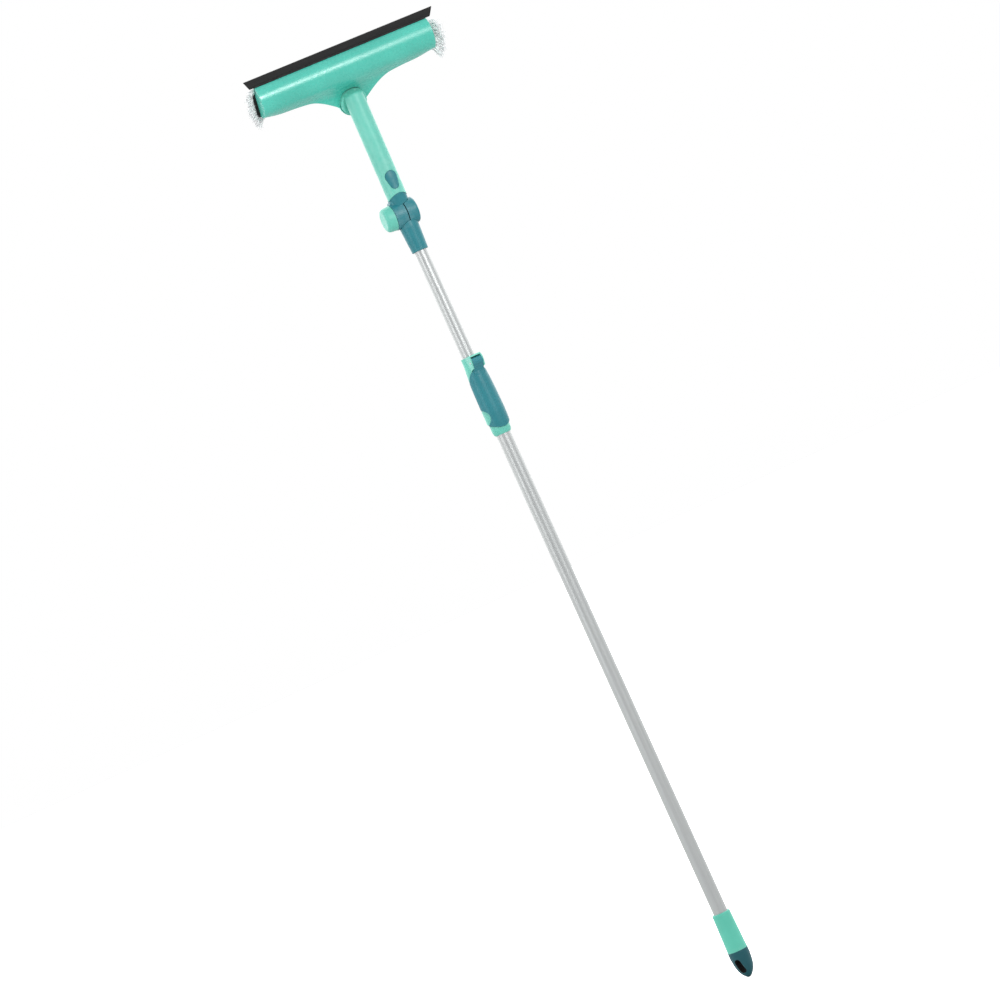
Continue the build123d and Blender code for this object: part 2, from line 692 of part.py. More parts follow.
def shell_section(x, inset=0.0, end=None):
    """The shell's section across X: a round band above, running down to a thin web."""
    low = edge_low(x) + inset
    reach = max(0.0, WEB_START_UP - edge_low(x)) / WEB_DROP
    points = []
    for angle in (72, 50, 25, 0, -25):
        radius = BAND_R - inset
        points.append((radius * cos(radians(angle)) + BAND_OUT, radius * sin(radians(angle)) + BAND_UP))
    points.append((10.2 - 9.2 * reach - 0.9 * inset, 39.0 - 14.0 * reach + 0.35 * inset))
    points.append((-3.4 * min(1.0, 2.0 * reach) - 0.8 * inset, low))
    back = SHELL_BACK - 1.5 * (inset > 0)
    front = Spline(*[(-out, up) for out, up in points])
    top = points[0]
    rest = Polyline((-points[-1][0], low), (-back, low), (-back, top[1]), (-top[0], top[1]))
    place = x if end is None else end
    return Plane.YZ.offset(place) * make_face([front, *rest.edges()])


def shell_loft(inset=0.0):
    stops = [x for x, low in EDGE_LOW]
    sections = []
    for x in [-x for x in stops] + stops[-2::-1]:
        end = x
        if abs(x) == SHELL_HALF:
            end = x - inset if x > 0 else x + inset
        sections.append(shell_section(x, inset, end))
    return loft(sections)


def head_shell():
    """The T-shaped shell: a hollow round band for the blade, and a web down to the swivel's boss."""
    boss = out_rod(BOSS_R, BOSS_BACK, BOSS_FACE + 0.8)
    boss -= out_rod(BOSS_R - BOSS_WALL, BOSS_BACK - 1, BOSS_FACE - 3) - out_rod(HUB_R, HUB_BACK, 0)
    boss -= out_rod(BUSH_R, -20, 0)
    shape = shell_loft() - shell_loft(SHELL_WALL) - out_rod(BOSS_R, -30, 40) + boss
    shape -= out_rod(DISC_R + 0.4, BOSS_FACE, 40)
    for x in SCREW_X:
        shape += out_rod(POST_R, SHELL_BACK, POST_FRONT, x, SCREW_UP)
        shape -= out_rod(SCREW_R, SHELL_BACK - 1, SHELL_BACK + 14, x, SCREW_UP)
    slot = block((-200, 200), (-BLADE_OUT - 3, -BLADE_OUT + 3), (CHANNEL_LOW, SHELL_TOP + 5))
    return HEAD_FRAME * (shape - slot)


def swivel_bush():
    """A bush in the boss's hub, that the bolt runs in."""
    return HEAD_FRAME * (
        out_rod(BUSH_R, HUB_BACK - 0.1, BOSS_FACE) - out_rod(BOLT_R + SHAFT_FIT, -20, 0)
    )


def swivel_disc():
    """A thin low-friction disc between the neck's disc and the boss."""
    return HEAD_FRAME * (
        out_rod(LOW_FRICTION_R, BOSS_FACE, DISC_BACK - 0.08) - out_rod(BOLT_R + 0.3, BOSS_FACE - 1, 0)
    )


def along_blade(outline, half_length):
    """A prism along X in the head's frame, from an (out, up) outline."""
    face = make_face(Polyline(*[(-out, up) for out, up in outline], close=True))
    return extrude(Plane.YZ * face, amount=half_length, both=True)


def blade_channel():
    """The U-shaped holder that grips the rubber's bulb."""
    bar = along_blade(
        [
            (BLADE_OUT - 3, CHANNEL_LOW),
            (BLADE_OUT + 3, CHANNEL_LOW),
            (BLADE_OUT + 3, CHANNEL_TOP - 1.5),
            (BLADE_OUT + 2, CHANNEL_TOP),
            (BLADE_OUT - 2, CHANNEL_TOP),
            (BLADE_OUT - 3, CHANNEL_TOP - 1.5),
        ],
        CHANNEL_HALF,
    )
    bulb = rod(BULB_R + 0.05, (-200, -BLADE_OUT, BULB_UP), (200, -BLADE_OUT, BULB_UP))
    slot = block(
        (-200, 200),
        (-BLADE_OUT - RUBBER_BASE - 0.05, -BLADE_OUT + RUBBER_BASE + 0.05),
        (BULB_UP, CHANNEL_TOP + 1),
    )
    return HEAD_FRAME * (bar - bulb - slot)


def squeegee_rubber():
    """The blade: a bulb held in the channel, and a lip that widens towards its tip's ends."""
    lip = along_blade(
        [
            (BLADE_OUT - RUBBER_BASE, BULB_UP),
            (BLADE_OUT + RUBBER_BASE, BULB_UP),
            (BLADE_OUT + RUBBER_BASE, CHANNEL_TOP + 2),
            (BLADE_OUT + RUBBER_TIP, BLADE_TIP_UP),
            (BLADE_OUT - RUBBER_TIP, BLADE_TIP_UP),
            (BLADE_OUT - RUBBER_BASE, CHANNEL_TOP + 2),
        ],
        BLADE_TIP_HALF,
    )
    bulb = rod(BULB_R, (-200, -BLADE_OUT, BULB_UP), (200, -BLADE_OUT, BULB_UP))
    outline = make_face(
        Polyline(
            (-CHANNEL_HALF, BULB_UP - 4),
            (-CHANNEL_HALF, BLADE_HEEL_UP),
            (-BLADE_HEEL_HALF, BLADE_HEEL_UP),
            (-BLADE_BASE_HALF, CHANNEL_TOP),
            (-BLADE_TIP_HALF, BLADE_TIP_UP),
            (BLADE_TIP_HALF, BLADE_TIP_UP),
            (BLADE_BASE_HALF, CHANNEL_TOP),
            (BLADE_HEEL_HALF, BLADE_HEEL_UP),
            (CHANNEL_HALF, BLADE_HEEL_UP),
            (CHANNEL_HALF, BULB_UP - 4),
            close=True,
        )
    )
    return HEAD_FRAME * ((lip + bulb) & extrude(Plane.XZ * outline, 30, both=True))


def pad_plate():
    """The flat plate behind the shell that carries the pad."""
    outline = Pos(0, SCREW_UP) * RectangleRounded(2 * PLATE_HALF, PLATE_HEIGHT, 6)
    plate = extrude(Plane.XZ.offset(SHELL_BACK) * outline, amount=PLATE_BACK - SHELL_BACK)
    for x in SCREW_X:
        plate -= out_rod(SCREW_R + 0.3, -20, 0, x, SCREW_UP)
        plate -= out_rod(SCREW_HEAD_R + 0.3, PLATE_BACK - 1, PLATE_BACK + 1.2, x, SCREW_UP)
    return HEAD_FRAME * plate


def shell_screws():
    screws = []
    for x in SCREW_X:
        shank = out_rod(SCREW_R, PLATE_BACK + 1.2, SHELL_BACK + 12, x, SCREW_UP)
        head = out_rod(SCREW_HEAD_R, PLATE_BACK + 0.05, PLATE_BACK + 1.2, x, SCREW_UP)
        screws.append(HEAD_FRAME * (shank + head))
    return Compound(children=screws)


def hook_strips():
    """Two strips of hook tape that hold the pad on the plate."""
    strips = []
    for up in STRIP_UP:
        outline = Pos(0, up) * RectangleRounded(2 * PLATE_HALF - 12, 14, 3)
        strip = extrude(Plane.XZ.offset(PLATE_BACK) * outline, amount=STRIP_BACK - PLATE_BACK)
        strips.append(HEAD_FRAME * strip)
    return Compound(children=strips)


def microfibre_pad():
    """The washing pad, as a plain rounded block."""
    middle = (PAD_LOW + PAD_HIGH) / 2
    outline = Pos(0, middle) * RectangleRounded(2 * PAD_HALF, PAD_HIGH - PAD_LOW, 12)
    pad = extrude(Plane.XZ.offset(PAD_FRONT) * outline, amount=PAD_BACK - PAD_FRONT)
    back = pad.faces().sort_by(Axis.Y)[-1].edges()
    return HEAD_FRAME * fillet(back, 5)


NODES = (
    outer_tube,
    end_grip,
    end_cap,
    clamp_body,
    clamp_screws,
    clamp_bush,
    lever_pin,
    clamp_lever,
    brake_shoe,
    inner_tube,
    inner_guide,
    joint_socket,
    friction_disc,
    joint_bolt,
    socket_rivet,
    joint_knob,
    knob_insert,
    knob_washer,
    joint_head,
    release_button,
    button_spring,
    neck_handle,
    swivel_bolt,
    swivel_washer,
    head_shell,
    swivel_bush,
    swivel_disc,
    blade_channel,
    squeegee_rubber,
    pad_plate,
    shell_screws,
    hook_strips,
    microfibre_pad,
)

os.makedirs("parts", exist_ok=True)
for make in NODES:
    export_step(make(), f"parts/{make.__name__}.step")
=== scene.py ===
import json
import math
import random

import bmesh
import bpy
import numpy as np
from mathutils import Matrix, Vector


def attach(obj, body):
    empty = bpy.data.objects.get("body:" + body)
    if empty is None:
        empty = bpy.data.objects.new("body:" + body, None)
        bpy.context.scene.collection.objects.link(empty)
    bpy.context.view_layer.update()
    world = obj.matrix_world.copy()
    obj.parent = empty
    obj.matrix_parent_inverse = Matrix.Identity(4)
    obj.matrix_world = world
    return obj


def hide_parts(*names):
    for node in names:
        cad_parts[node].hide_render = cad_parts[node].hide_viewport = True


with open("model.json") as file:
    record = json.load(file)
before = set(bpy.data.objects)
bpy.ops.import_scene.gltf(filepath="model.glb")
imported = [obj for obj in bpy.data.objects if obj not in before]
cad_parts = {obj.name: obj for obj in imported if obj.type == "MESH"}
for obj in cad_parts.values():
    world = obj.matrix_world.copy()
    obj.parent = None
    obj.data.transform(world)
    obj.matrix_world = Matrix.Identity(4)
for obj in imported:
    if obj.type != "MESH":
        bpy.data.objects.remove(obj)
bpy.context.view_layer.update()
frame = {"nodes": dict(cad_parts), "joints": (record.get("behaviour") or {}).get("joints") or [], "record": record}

# Metres, in the CAD's frame: the origin is the end cap's tip, +Z runs up the pole, -Y is the front.
NODES = frame["nodes"]


# ---------------------------------------------------------------- camera
CAMERA_AZIMUTH = math.radians(-16.0)
CAMERA_DISTANCE = 6.3
CAMERA_TARGET = Vector((-0.049, 0.014, 0.898))
CAMERA_ROLL = math.radians(24.4)  # the pole stands at a slant in the picture
CAMERA_LENS = 135.56


def make_camera():
    back = Vector((math.sin(CAMERA_AZIMUTH), -math.cos(CAMERA_AZIMUTH), 0.0))
    level_right = Vector((math.cos(CAMERA_AZIMUTH), math.sin(CAMERA_AZIMUTH), 0.0))
    up = Vector((0.0, 0.0, 1.0))
    right = math.cos(CAMERA_ROLL) * level_right - math.sin(CAMERA_ROLL) * up
    top = math.sin(CAMERA_ROLL) * level_right + math.cos(CAMERA_ROLL) * up
    data = bpy.data.cameras.new("camera")
    data.lens = CAMERA_LENS
    camera = bpy.data.objects.new("camera", data)
    turn = Matrix((right, top, back)).transposed().to_4x4()
    camera.matrix_world = Matrix.Translation(CAMERA_TARGET + CAMERA_DISTANCE * back) @ turn
    bpy.context.scene.collection.objects.link(camera)
    bpy.context.scene.camera = camera


# ---------------------------------------------------------------- stage and light
def node(tree, kind, **inputs):
    """A shader node with some of its sockets set; a socket's spaces are written as underscores."""
    made = tree.nodes.new(kind)
    for name, value in inputs.items():
        made.inputs[name.replace("_", " ")].default_value = value
    return made


def make_world():
    """White to the camera. To everything else, a room that is dark in front and bright behind."""
    world = bpy.data.worlds.new("studio")
    bpy.context.scene.world = world
    world.use_nodes = True
    tree = world.node_tree
    tree.nodes.clear()
    out = tree.nodes.new("ShaderNodeOutputWorld")
    place = tree.nodes.new("ShaderNodeTexCoord")
    depth = tree.nodes.new("ShaderNodeVectorMath")
    depth.operation = "DOT_PRODUCT"
    depth.inputs[1].default_value = (-math.sin(CAMERA_AZIMUTH), math.cos(CAMERA_AZIMUTH), 0.0)
    lift = node(tree, "ShaderNodeMapRange", From_Min=-1.0, From_Max=1.0)
    ramp = tree.nodes.new("ShaderNodeValToRGB")
    stops = ramp.color_ramp.elements
    stops[0].position, stops[0].color = 0.0, (0.28, 0.28, 0.285, 1)
    stops[1].position, stops[1].color = 0.72, (1.0, 1.0, 1.0, 1)
    side = stops.new(0.42)
    side.color = (0.45, 0.45, 0.455, 1)
    studio = node(tree, "ShaderNodeBackground", Strength=2.2)
    plain = node(tree, "ShaderNodeBackground", Color=(1, 1, 1, 1), Strength=1.0)
    path = tree.nodes.new("ShaderNodeLightPath")
    mix = tree.nodes.new("ShaderNodeMixShader")
    link = tree.links.new
    link(place.outputs["Generated"], depth.inputs[0])
    link(depth.outputs["Value"], lift.inputs["Value"])
    link(lift.outputs["Result"], ramp.inputs["Fac"])
    link(ramp.outputs["Color"], studio.inputs["Color"])
    link(path.outputs["Is Camera Ray"], mix.inputs["Fac"])
    link(studio.outputs[0], mix.inputs[1])
    link(plain.outputs[0], mix.inputs[2])
    link(mix.outputs[0], out.inputs["Surface"])


def soft_box(name, azimuth, distance, height, size, power):
    """A rectangular light in watts, at an azimuth from the camera's own, that faces the pole."""
    data = bpy.data.lights.new(name, "AREA")
    data.shape = "RECTANGLE"
    data.size, data.size_y = size
    data.energy = power
    light = bpy.data.objects.new(name, data)
    turn = CAMERA_AZIMUTH + math.radians(azimuth)
    away = Vector((math.sin(turn), -math.cos(turn), 0.0))
    centre = distance * away + Vector((0.0, 0.0, height))
    light.matrix_world = Matrix.Translation(centre) @ away.to_track_quat("Z", "Y").to_matrix().to_4x4()
    bpy.context.scene.collection.objects.link(light)


def make_lights():
    soft_box("right_panel", 40.0, 3.0, 2.1, (0.9, 1.8), 9.0)
    soft_box("left_panel", -50.0, 3.0, 1.8, (1.1, 2.4), 20.0)
    soft_box("head_strip", 26.0, 3.0, 2.03, (0.5, 0.75), 27.0)
    soft_box("top_panel", 150.0, 2.2, 3.4, (1.8, 1.4), 20.0)


def make_floor():
    """A pale floor that the cap's tip stands on: nearly white to the camera, darker as a source."""
    mesh = bpy.data.meshes.new("floor")
    half = 30.0
    drop = -0.0004
    corners = [(x, y, drop) for x, y in ((-half, -half), (half, -half), (half, half), (-half, half))]
    mesh.from_pydata(corners, [], [(0, 1, 2, 3)])
    floor = bpy.data.objects.new("floor", mesh)
    bpy.context.scene.collection.objects.link(floor)
    material = bpy.data.materials.new("floor")
    material.use_nodes = True
    tree = material.node_tree
    shader = tree.nodes["Principled BSDF"]
    shader.inputs["Roughness"].default_value = 0.9
    shader.inputs["Specular IOR Level"].default_value = 0.1
    shader.inputs["Emission Color"].default_value = (1, 1, 1, 1)
    path = tree.nodes.new("ShaderNodeLightPath")
    shade = node(tree, "ShaderNodeMapRange", To_Min=0.52, To_Max=0.93)
    glow = node(tree, "ShaderNodeMapRange", To_Min=0.0, To_Max=0.62)
    tree.links.new(path.outputs["Is Camera Ray"], shade.inputs["Value"])
    tree.links.new(path.outputs["Is Camera Ray"], glow.inputs["Value"])
    tree.links.new(shade.outputs["Result"], shader.inputs["Base Color"])
    tree.links.new(glow.outputs["Result"], shader.inputs["Emission Strength"])
    mesh.materials.append(material)


# ---------------------------------------------------------------- materials
SLOT_TURN = math.radians(-45.0)  # the hanging slot in the end cap
SLOT_LEAN = math.radians(8.0)
SLOT_Z = 0.0228
SLOT_HALF = 0.0053
SLOT_STRAIGHT_HALF = 0.0075  # from the slot's middle to the centre of each round end


def srgb(red, green, blue):
    """A linear colour from 0 to 255 screen values."""

    def linear(value):
        value /= 255.0
        return value / 12.92 if value <= 0.04045 else ((value + 0.055) / 1.055) ** 2.4

    return (linear(red), linear(green), linear(blue), 1.0)


class Surface:
    """A principled material, with helpers to drive its colour, roughness and bump."""

    def __init__(self, name):
        self.material = bpy.data.materials.new(name)
        self.material.use_nodes = True
        self.tree = self.material.node_tree
        self.shader = self.tree.nodes["Principled BSDF"]
        self.place = self.tree.nodes.new("ShaderNodeTexCoord").outputs["Object"]
        self.normal = None

    def set(self, **values):
        for name, value in values.items():
            self.shader.inputs[name.replace("_", " ")].default_value = value

    def add(self, kind, **inputs):
        return node(self.tree, kind, **inputs)

    def link(self, source, target):
        self.tree.links.new(source, target)

    def stretched(self, x, y, z):
        mapping = self.add("ShaderNodeMapping")
        mapping.inputs["Scale"].default_value = (x, y, z)
        self.link(self.place, mapping.inputs["Vector"])
        return mapping.outputs[0]

    def noise(self, scale, detail=3.0, roughness=0.55, vector=None):
        made = self.add("ShaderNodeTexNoise", Scale=scale, Detail=detail, Roughness=roughness)
        self.link(self.place if vector is None else vector, made.inputs["Vector"])
        return made.outputs["Fac"]

    def ramp(self, value, low, high, dark, light):
        """value from low to high, as a colour from dark to light."""
        made = self.add("ShaderNodeValToRGB")
        stops = made.color_ramp.elements
        stops[0].position, stops[0].color = low, dark
        stops[1].position, stops[1].color = high, light
        self.link(value, made.inputs["Fac"])
        return made.outputs["Color"]

    def span(self, value, low, high, new_low, new_high):
        made = self.add(
            "ShaderNodeMapRange", From_Min=low, From_Max=high, To_Min=new_low, To_Max=new_high
        )
        self.link(value, made.inputs["Value"])
        return made.outputs["Result"]

    def calculate(self, operation, first, second):
        made = self.add("ShaderNodeMath")
        made.operation = operation
        self.link(first, made.inputs[0])
        self.link(second, made.inputs[1])
        return made.outputs[0]

    def mix(self, factor, first, second):
        made = self.add("ShaderNodeMix")
        made.data_type = "RGBA"
        self.link(factor, made.inputs["Factor"])
        for name, value in (("A", first), ("B", second)):
            socket = next(s for s in made.inputs if s.name == name and s.type == "RGBA")
            if isinstance(value, tuple):
                socket.default_value = value
            else:
                self.link(value, socket)
        return next(s for s in made.outputs if s.type == "RGBA")

    def rounded(self, radius):
        made = self.add("ShaderNodeBevel", Radius=radius)
        made.samples = 4
        self.normal = made.outputs[0]

    def bump(self, height, distance, strength=1.0):
        made = self.add("ShaderNodeBump", Distance=distance, Strength=strength)
        self.link(height, made.inputs["Height"])
        if self.normal is not None:
            self.link(self.normal, made.inputs["Normal"])
        self.normal = made.outputs[0]

    def done(self):
        if self.normal is not None:
            self.link(self.normal, self.shader.inputs["Normal"])
        return self.material


def plastic(name, colour, roughness, grain=0.5, edge=0.35, gleam=0.5, rim=0.0005, painted_shade_mask=None):
    """Moulded plastic: a slight flow in the colour, fine spark-eroded grain and rubbed edges; where a mask is
    given, near-black painted shade with full roughness.
    """
    skin = Surface(name)
    skin.set(Specular_IOR_Level=gleam)
    deep = tuple(0.93 * c for c in colour[:3]) + (1.0,)
    pale = tuple(min(1.0, 1.05 * c + 0.004) for c in colour[:3]) + (1.0,)
    flow = skin.ramp(skin.noise(14.0, 4.0), 0.35, 0.65, deep, pale)
    rub = skin.span(skin.noise(90.0, 5.0, 0.7), 0.35, 0.75, 0.0, edge)
    rubbed = tuple(0.75 * c + 0.25 for c in colour[:3]) + (1.0,)
    point = skin.add("ShaderNodeNewGeometry").outputs["Pointiness"]
    wear = skin.calculate("MULTIPLY", skin.span(point, 0.52, 0.60, 0.0, 1.0), rub)
    colour = skin.mix(wear, flow, rubbed)
    gloss = skin.span(skin.noise(160.0, 3.0), 0.3, 0.7, roughness - 0.05, roughness + 0.06)
    # Painted shade: where the mask is 1, the colour goes near-black and the roughness to 1, standing in for the
    # shade inside the slot.
    if painted_shade_mask is not None:
        slot_shade = painted_shade_mask(skin)
        colour = skin.mix(slot_shade, colour, srgb(4, 4, 5))
        gloss = skin.calculate("MAXIMUM", gloss, slot_shade)
    skin.link(colour, skin.shader.inputs["Base Color"])
    skin.link(gloss, skin.shader.inputs["Roughness"])
    if rim > 0.0:
        skin.rounded(rim)
    skin.bump(skin.noise(1900.0, 2.0), 0.00006, grain)
    return skin.done()


def slot_shade_mask(skin):
    """1 on the walls of the slot through the end cap, where near-black painted shade stands in for the shade
    inside the slot, and 0 elsewhere.
    """

    def along(direction):
        made = skin.add("ShaderNodeVectorMath")
        made.operation = "DOT_PRODUCT"
        made.inputs[1].default_value = direction
        skin.link(centred.outputs[0], made.inputs[0])
        return made.outputs["Value"]

    centred = skin.add("ShaderNodeVectorMath")
    centred.inputs[1].default_value = (0.0, 0.0, -SLOT_Z)
    skin.link(skin.place, centred.inputs[0])
    side = (math.cos(SLOT_TURN), math.sin(SLOT_TURN))
    lean_cos, lean_sin = math.cos(SLOT_LEAN), math.sin(SLOT_LEAN)
    across = along((side[0] * lean_cos, side[1] * lean_cos, lean_sin))
    length = along((-side[0] * lean_sin, -side[1] * lean_sin, lean_cos))
    nearest = skin.add("ShaderNodeClamp", Min=-SLOT_STRAIGHT_HALF, Max=SLOT_STRAIGHT_HALF)
    skin.link(length, nearest.inputs["Value"])
    beyond = skin.calculate("SUBTRACT", length, nearest.outputs[0])
    squared = skin.calculate(
        "ADD", skin.calculate("MULTIPLY", across, across), skin.calculate("MULTIPLY", beyond, beyond)
    )
    return skin.span(squared, (SLOT_HALF + 0.0003) ** 2, (SLOT_HALF + 0.0001) ** 2, 0.0, 1.0)


def aluminium():
    """Drawn tube: long fine draw lines, a soft satin, and a few faint scuffs."""
    skin = Surface("aluminium")
    lines = skin.noise(1.0, 4.0, 0.7, skin.stretched(1500.0, 1500.0, 6.0))
    scuffs = skin.noise(1.0, 6.0, 0.75, skin.stretched(220.0, 220.0, 30.0))
    shade = skin.ramp(lines, 0.3, 0.7, srgb(178, 181, 181), srgb(190, 193, 192))
    skin.link(shade, skin.shader.inputs["Base Color"])
    skin.set(Metallic=1.0)
    skin.link(skin.span(scuffs, 0.3, 0.7, 0.40, 0.50), skin.shader.inputs["Roughness"])
    skin.bump(lines, 0.000008, 0.5)
    return skin.done()


def steel():
    """Zinc-plated steel with a fine grain."""
    skin = Surface("steel")
    grain = skin.noise(900.0, 4.0, 0.7)
    skin.link(
        skin.ramp(grain, 0.3, 0.7, srgb(160, 161, 160), srgb(196, 197, 195)),
        skin.shader.inputs["Base Color"],
    )
    skin.set(Metallic=1.0)
    skin.link(skin.span(grain, 0.3, 0.7, 0.26, 0.4), skin.shader.inputs["Roughness"])
    skin.rounded(0.0003)
    return skin.done()


def brass():
    """Turned brass, a little dull."""
    skin = Surface("brass")
    grain = skin.noise(700.0, 4.0, 0.7)
    skin.link(
        skin.ramp(grain, 0.3, 0.7, srgb(176, 142, 78), srgb(208, 176, 108)),
        skin.shader.inputs["Base Color"],
    )
    skin.set(Metallic=1.0, Roughness=0.32)
    return skin.done()


def rubber():
    """Matt black rubber with faint run lines and a little dust."""
    skin = Surface("black_rubber")
    runs = skin.noise(1.0, 4.0, 0.6, skin.stretched(8.0, 900.0, 900.0))
    skin.link(
        skin.ramp(runs, 0.35, 0.7, srgb(22, 21, 22), srgb(38, 37, 37)),
        skin.shader.inputs["Base Color"],
    )
    skin.set(Specular_IOR_Level=0.3)
    skin.link(skin.span(runs, 0.3, 0.7, 0.5, 0.62), skin.shader.inputs["Roughness"])
    skin.bump(skin.noise(1300.0, 2.0), 0.00005, 0.4)
    return skin.done()


def hook_tape():
    """Nylon hook tape: a dark base with paler hooks."""
    skin = Surface("hook_tape")
    hooks = skin.add("ShaderNodeTexVoronoi", Scale=900.0)
    skin.link(skin.place, hooks.inputs["Vector"])
    skin.link(
        skin.ramp(hooks.outputs["Distance"], 0.1, 0.6, srgb(90, 92, 94), srgb(40, 42, 44)),
        skin.shader.inputs["Base Color"],
    )
    skin.set(Roughness=0.7)
    skin.bump(hooks.outputs["Distance"], 0.0004, 0.8)
    return skin.done()


def microfibre():
    """White microfibre, matt with a soft sheen."""
    skin = Surface("microfibre")
    clumps = skin.noise(160.0, 5.0, 0.65)
    skin.link(
        skin.ramp(clumps, 0.3, 0.7, srgb(242, 246, 247), srgb(254, 254, 254)),
        skin.shader.inputs["Base Color"],
    )
    skin.set(Roughness=0.85, Sheen_Weight=0.5, Sheen_Roughness=0.5)
    skin.bump(skin.noise(1400.0, 3.0), 0.0003, 0.6)
    return skin.done()


def dress_cad_nodes():
    """Gives each CAD node the finish of its material slot, and returns the finishes by slot."""
    cap_colour = srgb(12, 80, 89)
    looks = {
        "aluminium": aluminium(),
        "grip_mint": plastic("grip_mint", srgb(88, 190, 168), 0.44),
        # The end cap's slot walls get near-black painted shade.
        "cap_petrol": plastic("cap_petrol", cap_colour, 0.42, gleam=0.35, painted_shade_mask=slot_shade_mask),
        "mint_plastic": plastic("mint_plastic", srgb(98, 191, 173), 0.40),
        "petrol_plastic": plastic("petrol_plastic", srgb(32, 120, 130), 0.40, gleam=0.4),
        "turquoise_plastic": plastic("turquoise_plastic", srgb(66, 183, 165), 0.27, gleam=0.75, rim=0.0),
        "black_plastic": plastic("black_plastic", srgb(17, 18, 19), 0.62, edge=0.06, gleam=0.25),
        "black_rubber": rubber(),
        "steel": steel(),
        "brass": brass(),
        "hook_tape": hook_tape(),
        "microfibre": microfibre(),
    }
    for part in frame["record"]["subparts"]:
        mesh = NODES[part["node"]].data
        mesh.materials.clear()
        mesh.materials.append(looks[part["material_slot"]])
    return looks


# ---------------------------------------------------------------- microfibre pad
def head_frame():
    """The head's own frame: its origin on the swivel, and its across, out and up directions."""
    swivel = next(j for j in frame["joints"] if j["name"] == "head_swivel")
    across = Vector((1.0, 0.0, 0.0))
    out = Vector(swivel["axis"]).normalized()
    return Vector(swivel["pos_m"]), across, out, out.cross(across)


HEAD_ORIGIN, ACROSS, OUT, UP = head_frame()
HEAD_AXES = np.array([ACROSS, OUT, UP])
DOWN = HEAD_AXES @ np.array([0.0, 0.0, -1.0])  # gravity in the head's frame

# Along OUT, how far behind the swivel the pad's layers lie, and along UP, where its edges are.
STRIP_BACK = -0.0106
BACKING_BACK = -0.0120
BACKING_HALF = 0.1660
BACKING_LOW = 0.0310
BACKING_HIGH = 0.0790
BACKING_CORNER = 0.0090
CLOTH_GAP = 0.0001  # between the backing and the hook strips
HEM_PUCKER = 0.0002
PLUSH_FRONT = BACKING_BACK - 0.0004
PLUSH_BACK = -0.0165
PLUSH_INSET = 0.0030  # from the backing's edge to the plush's
PAD_SHIFT = 0.0035  # the pad sits a little to the right on its plate
CLOTH_FRAMES = 20


def placed(points):
    """Points in the head's frame (across, out, up), moved with the pad, in the shared frame."""
    return np.array(HEAD_ORIGIN) + (np.asarray(points) + (PAD_SHIFT, 0.0, 0.0)) @ HEAD_AXES


def make_piece(name, points, faces):
    """A closed piece of microfibre, from points in the head's frame and faces wound either way."""
    mesh = bpy.data.meshes.new(name)
    mesh.from_pydata([tuple(p) for p in placed(points)], [], faces)
    mesh.validate()
    shell = bmesh.new()
    shell.from_mesh(mesh)
    bmesh.ops.recalc_face_normals(shell, faces=shell.faces)
    shell.to_mesh(mesh)
    shell.free()
    mesh.shade_smooth()
    made = bpy.data.objects.new(name, mesh)
    bpy.context.scene.collection.objects.link(made)
    mesh.materials.append(LOOKS["microfibre"])
    return made


def rounded_outline(half, low, high, corner, step=0.004):
    """A rounded rectangle's points (across, up) and outward normals, anticlockwise."""
    arc_steps = 6
    points, normals = [], []
    centres = ((half - corner, high - corner), (-half + corner, high - corner))
    centres += ((-half + corner, low + corner), (half - corner, low + corner))
    for i, (x, up) in enumerate(centres):
        for k in range(arc_steps + 1):
            angle = math.pi / 2 * (i + k / arc_steps)
            normal = (math.cos(angle), math.sin(angle))
            points.append((x + corner * normal[0], up + corner * normal[1]))
            normals.append(normal)
        following = centres[(i + 1) % 4]
        turn = math.pi / 2 * (i + 1)
        normal = (math.cos(turn), math.sin(turn))
        start = np.array(points[-1])
        end = np.array((following[0] + corner * normal[0], following[1] + corner * normal[1]))
        count = int(np.linalg.norm(end - start) / step)
        for k in range(1, count):
            points.append(tuple(start + (end - start) * k / count))
            normals.append(normal)
    return np.array(points), np.array(normals)


def loop(count):
    """Each index of a closed loop, with the one that follows it."""
    return [(i, (i + 1) % count) for i in range(count)]


def cloth_backing():
    """The loop cloth that sticks to the hook strips: flat on them, and slightly puckered at its hem."""
    edge, normals = rounded_outline(BACKING_HALF, BACKING_LOW, BACKING_HIGH, BACKING_CORNER)
    count = len(edge)
    half_width = (BACKING_HIGH - BACKING_LOW) / 2
    rings = (0.62, 0.85, 1.0)
    points, faces = [], []
    for out in (STRIP_BACK - CLOTH_GAP, BACKING_BACK):
        for share in rings:
            inset = (1.0 - share) * half_width
            for i, ((x, up), (nx, nu)) in enumerate(zip(edge, normals)):
                pucker = HEM_PUCKER * abs(math.sin(i * 1.9)) * max(0.0, share - 0.8) / 0.2
                points.append((x - nx * inset, out - pucker, up - nu * inset))
    per_side = len(rings) * count
    outer = per_side - count
    for base in (0, per_side):
        faces.append(tuple(range(base, base + count)))
        for ring in range(base, base + outer, count):
            faces += [(ring + i, ring + j, ring + count + j, ring + count + i) for i, j in loop(count)]
    faces += [(outer + i, outer + j, per_side + outer + j, per_side + outer + i) for i, j in loop(count)]
    return make_piece("pad_backing", points, faces)


